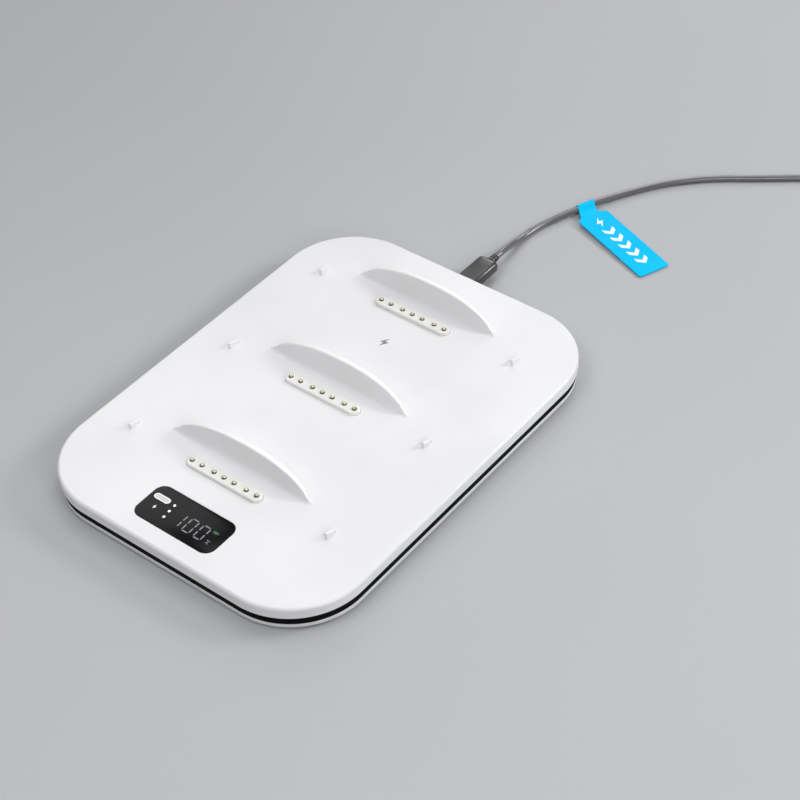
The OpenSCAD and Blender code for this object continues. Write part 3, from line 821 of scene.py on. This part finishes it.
def make_strip(index, row):
    """Raised contact strip with a flange under the skin and seven eased holes."""
    at = (BAY_X, row)
    levels = [(0, CEILING - 0.3 * MM)] + rounded(STRIP_EASE, STRIP_TOP)
    strip = keep("strip_%d" % index, *stack(STRIP_L, STRIP_W, STRIP_W / 2, levels, at, 14), "strip_cream")
    flange = stack(STRIP_L + 2 * FLANGE_BRIM, STRIP_W + 2 * FLANGE_BRIM, STRIP_W / 2 + FLANGE_BRIM,
                   [(0, CEILING - FLANGE_LOW), (0, CEILING - FLANGE_GAP)], at, 14)
    join(strip, "UNION", [tool(*flange)])
    holes = []
    low = CEILING - 2 * MM
    for x in PIN_XS:
        centre = (BAY_X + x, row)
        holes.append(tube(*centre, BARREL_R, low, STRIP_TOP - COLLAR))
        holes.append(pocket(PIN_HOLE_W, PIN_HOLE_W, PIN_HOLE_R, low, STRIP_TOP, PIN_HOLE_LIP, centre, 8))
    join(strip, "DIFFERENCE", [tool(*h) for h in holes])
    even_normals(strip)
    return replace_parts(strip, "contact_strip_%d" % index)


# ---- springs under the plungers ----

SPRING_R = 0.8 * MM
WIRE_R = 0.13 * MM
SPRING_TURNS = 6
TURN_STEPS = 16
WIRE_SIDES = 6


def spring_ring(at, angle, z):
    """Ring of points round the wire where the helix stands at angle and height z."""
    out = Vector((math.cos(angle), math.sin(angle), 0))
    middle = Vector((at[0], at[1], z)) + SPRING_R * out
    ring = []
    for k in range(WIRE_SIDES):
        turn = 2 * math.pi * k / WIRE_SIDES
        ring.append(middle + WIRE_R * (math.cos(turn) * out + math.sin(turn) * Vector((0, 0, 1))))
    return ring


def make_springs(bay, row):
    """One coil spring under each plunger of a bay."""
    node = "pin_springs_%d" % bay
    low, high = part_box(node)[0].z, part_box(node)[1].z
    steps = TURN_STEPS * SPRING_TURNS
    rise = high - low - 2 * WIRE_R
    for number, x in enumerate(PIN_XS, 1):
        at = (BAY_X + x, row)
        loops = [spring_ring(at, 2 * math.pi * SPRING_TURNS * k / steps, low + WIRE_R + rise * k / steps)
                 for k in range(steps + 1)]
        spring = keep("bay%d_spring%d" % (bay, number), *loft(loops), "spring_steel", angle=60)
        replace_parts(spring, node)
        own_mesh(spring)


# ---- lower shell and feet ----

BASE_INSET = 0.4 * MM
BASE_FLOOR = BASE_Z + 1.6 * MM
FOOT_EASE = 0.5 * MM
BOARD_POSTS = [(BAY_X + s * 23.5 * MM, y * MM) for s in (-1, 1) for y in (-40, 40)]
BOARD_POST_R = 2.6 * MM
LOWER_BOSS_R = 4.6 * MM
LOWER_BOSS_TOP = 4 * MM
HEAD_WELL_R, HEAD_WELL_TOP = 2.7 * MM, 2.6 * MM
SCREW_HOLE_R = 1.3 * MM
FEET = [(sx * 48 * MM, sy * 74 * MM) for sx in (-1, 1) for sy in (-1, 1)]
FOOT_W, FOOT_R, FOOT_TOP = 14 * MM, 6.999 * MM, 2 * MM
FOOT_WELL_R = 7.1 * MM


def make_base():
    """Lower shell: pale lip with an eased foot, raised rim inside, wells for screws and feet."""
    w, l, r = PLATE_W - 2 * BASE_INSET, PLATE_L - 2 * BASE_INSET, CORNER_R
    levels = rounded(FOOT_EASE, BASE_Z, up=False) + [(0, BAND_Z - RIM), (RIM, BAND_Z)]
    base = keep("bottom_shell", *stack(w, l, r, levels, n=24), "base_grey")
    inside = stack(w - 2 * WALL, l - 2 * WALL, r - WALL, [(0, BASE_FLOOR), (0, BAND_Z + PAST)], n=20)
    join(base, "DIFFERENCE", [tool(*inside)])
    adds = [tool(*tube(x, y, LOWER_BOSS_R, BASE_FLOOR - ROOT, LOWER_BOSS_TOP)) for x, y in SCREWS]
    adds += [tool(*tube(x, y, BOARD_POST_R, BASE_FLOOR - ROOT, LOWER_BOSS_TOP)) for x, y in BOARD_POSTS]
    join(base, "UNION", adds)
    past = LOWER_BOSS_TOP + PAST
    cuts = [tube(x, y, FOOT_WELL_R, BASE_Z - PAST, FOOT_TOP, 48) for x, y in FEET]
    cuts += [tube(x, y, HEAD_WELL_R, BASE_Z - PAST, HEAD_WELL_TOP) for x, y in SCREWS]
    cuts += [tube(x, y, SCREW_HOLE_R, BASE_Z, past) for x, y in SCREWS]
    cuts += [tube(x, y, SMALL_PILOT_R, BASE_FLOOR + 0.1 * MM, past) for x, y in BOARD_POSTS]
    join(base, "DIFFERENCE", [tool(*c) for c in cuts])
    even_normals(base)
    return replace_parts(base, "base_cover")


def make_feet():
    """Four round rubber feet with eased rims, standing on the table."""
    levels = rounded(FOOT_EASE, 0, 4, up=False) + [(0, FOOT_TOP - 0.1 * MM), (0.1 * MM, FOOT_TOP)]
    parts = [stack(FOOT_W, FOOT_W, FOOT_R, levels, at, 14) for at in FEET]
    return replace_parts(keep("feet", *merged(parts), "foot_rubber"), "rubber_feet")


# ---- display ----

LENS_EASE = 0.18 * MM


def make_lens():
    """Glossy window with an eased rim."""
    levels = [(0, LENS[0].z)] + rounded(LENS_EASE, LENS_TOP, 5)
    solid = stack(LENS_W, LENS_L, LENS_R, levels, (LENS_AT.x, LENS_AT.y), 14)
    lens = keep("display_lens", *solid, "lens_black")
    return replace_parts(lens, "display_window")


def bar(x0, y0, x1, y1, width):
    """Segment with mitred ends between two points."""
    a, b = Vector((x0, y0)), Vector((x1, y1))
    d = (b - a).normalized()
    s = Vector((-d.y, d.x)) * width / 2
    tip = d * width / 2
    return [tuple(q) for q in (a, a + tip + s, b - tip + s, b, b - tip - s, a + tip - s)]


# ends of the outer segments, in a figure one wide and two high; no figure here lights the middle one
SEGMENTS = {
    "a": (0, 2, 1, 2), "b": (1, 2, 1, 1), "c": (1, 1, 1, 0),
    "d": (0, 0, 1, 0), "e": (0, 1, 0, 0), "f": (0, 2, 0, 1),
}
ONE, ZERO = "bc", "abcdef"
FIGURE_W, FIGURE_H = 3.5, 6.9
SEGMENT_W, SEGMENT_GAP = 0.55, 0.32


def digit(x, y, lit):
    """Seven-segment figure with the lit segments only, in millimetres from its lower left corner."""
    shapes = []
    for name in lit:
        x0, y0, x1, y1 = SEGMENTS[name]
        a = Vector((x + x0 * FIGURE_W, y + y0 * FIGURE_H / 2))
        b = Vector((x + x1 * FIGURE_W, y + y1 * FIGURE_H / 2))
        d = (b - a).normalized() * SEGMENT_GAP
        shapes.append(bar(*(a + d), *(b - d), SEGMENT_W))
    return shapes


def marks(name, shapes, color, strength, rise=0.015):
    """Lit shapes, given in millimetres, that stand rise over the lens."""
    low, high = LENS_TOP - 0.02 * MM, LENS_TOP + rise * MM
    light = moulded(name, color, 0.3, other=tuple(c * 0.9 for c in color)).glow(color, strength)
    parts = [slab([(x * MM, y * MM) for x, y in s], low, high) for s in shapes]
    return keep(name, *merged(parts), "led", material=light)


def pill(x, y, w, l):
    """Outline with round ends, w by l, round x, y."""
    return [(x + a, y + b) for a, b in outline(w, l, min(w, l) / 2 * 0.999, 8)]


def make_display_marks():
    """Three figures with a percent mark, a battery pill, three dots, a bolt and a green charge mark."""
    dim, white, green = (0.27, 0.28, 0.3), (0.95, 0.95, 0.95), (0.02, 0.13, 0.035)
    foot, dot_r = -85.6, 0.58
    shapes = digit(-5.4, foot, ONE) + digit(0.5, foot, ZERO) + digit(6.4, foot, ZERO)
    marks("lit_figures", shapes, dim, 0.02)
    share = [disc(12.6, -83.9, 0.3, 12), disc(13.5, -85.3, 0.3, 12), bar(12.4, foot, 13.8, -83.6, 0.26)]
    marks("lit_share", share, dim, 0.01)
    marks("lit_pill", [pill(-16.5, -77.7, 7.1, 2.2)], (0.6, 0.61, 0.63), 0.1)
    marks("lit_pill_rim", [pill(-16.5, -77.7, 7.8, 2.8)], white, 0.3, 0.008)
    dots = [disc(x, y, dot_r) for x, y in ((-10, -77.8), (-9.7, -81.2), (-9.35, -84.55))]
    marks("lit_dots", dots, white, 0.45)
    marks("lit_bolt", [[(x - 16, y - 82.8) for x, y in bolt(2.4)]], white, 0.3)
    marks("lit_charge", [pill(12.5, -79.2, 2.4, 1.3), pill(14, -79.2, 0.5, 0.7)], green, 0.05)


def make_bolt_mark():
    """Plain printed bolt on the cover between the middle and rear bays."""
    at_x, at_y, half_thick = BAY_X + 0.3 * MM, 43.5 * MM, 0.02 * MM
    shape = [(x * MM + at_x, y * MM + at_y) for x, y in bolt(6.2)]
    ink = moulded("mark_ink", (0.24, 0.24, 0.25), 0.45)
    verts, faces = slab(shape, TOP_Z - half_thick, TOP_Z + half_thick)
    return keep("printed_bolt", verts, faces, "cover_white", material=ink)


make_cover()
for number, row_y in enumerate(ROWS, 1):
    make_strip(number, row_y)
    make_springs(number, row_y)
make_base()
make_feet()
make_lens()
make_display_marks()
make_bolt_mark()


# ---- stage ----

def make_floor():
    """Plain matt paper, a hair below the feet."""
    floor = Surface("floor_paper", (0.5, 0.505, 0.515), 0.7)
    floor.tint(floor.noise(3, detail=2), (0.48, 0.485, 0.495))
    floor.bump(floor.noise(900), 0.01 * MM)
    half, drop = 3.0, 0.05 * MM
    verts = [(-half, -half, 0), (half, -half, 0), (half, half, 0), (-half, half, 0)]
    piece = keep("floor", verts, [(0, 1, 2, 3)], "cover_white", body=None, material=floor)
    piece.location.z = -drop


def area_light(name, place, target, side, power):
    """Square panel, side wide, that faces its target."""
    data = bpy.data.lights.new(name, "AREA")
    data.size = side
    data.energy = power
    light = bpy.data.objects.new(name, data)
    light.location = place
    light.rotation_euler = (Vector(target) - Vector(place)).to_track_quat("-Z", "Y").to_euler()
    SCENE.collection.objects.link(light)


def make_lights():
    """Soft panels round the plate, a wide soft sun from above and a dim even surround."""
    area_light("key", (0.55, 0.55, 0.42), (0, 0.1, 0), 0.2, 2.8)
    area_light("side_fill", (0.6, -0.25, 0.4), (0, 0, 0), 0.3, 1.5)
    area_light("front_fill", (-0.05, -0.28, 0.5), (0, -0.05, 0), 0.3, 0.92)
    area_light("side_card", (-0.85, 0.42, 0.75), (0, 0, 0), 0.6, 1.6)
    area_light("rear_left", (-0.3, 0.75, 0.42), (0, 0.05, 0), 0.25, 1)
    ceiling = bpy.data.lights.new("ceiling", "SUN")
    ceiling.energy = 0.65
    ceiling.angle = math.radians(40)
    light = bpy.data.objects.new("ceiling", ceiling)
    light.rotation_euler = Vector((0.1, -0.35, -0.93)).to_track_quat("-Z", "Y").to_euler()
    SCENE.collection.objects.link(light)
    world = bpy.data.worlds.new("studio")
    world.use_nodes = True
    surround = world.node_tree.nodes["Background"]
    surround.inputs["Color"].default_value = (0.96, 0.97, 1, 1)
    surround.inputs["Strength"].default_value = 0.18
    SCENE.world = world
    SCENE.view_settings.view_transform = "Standard"


make_floor()
make_lights()
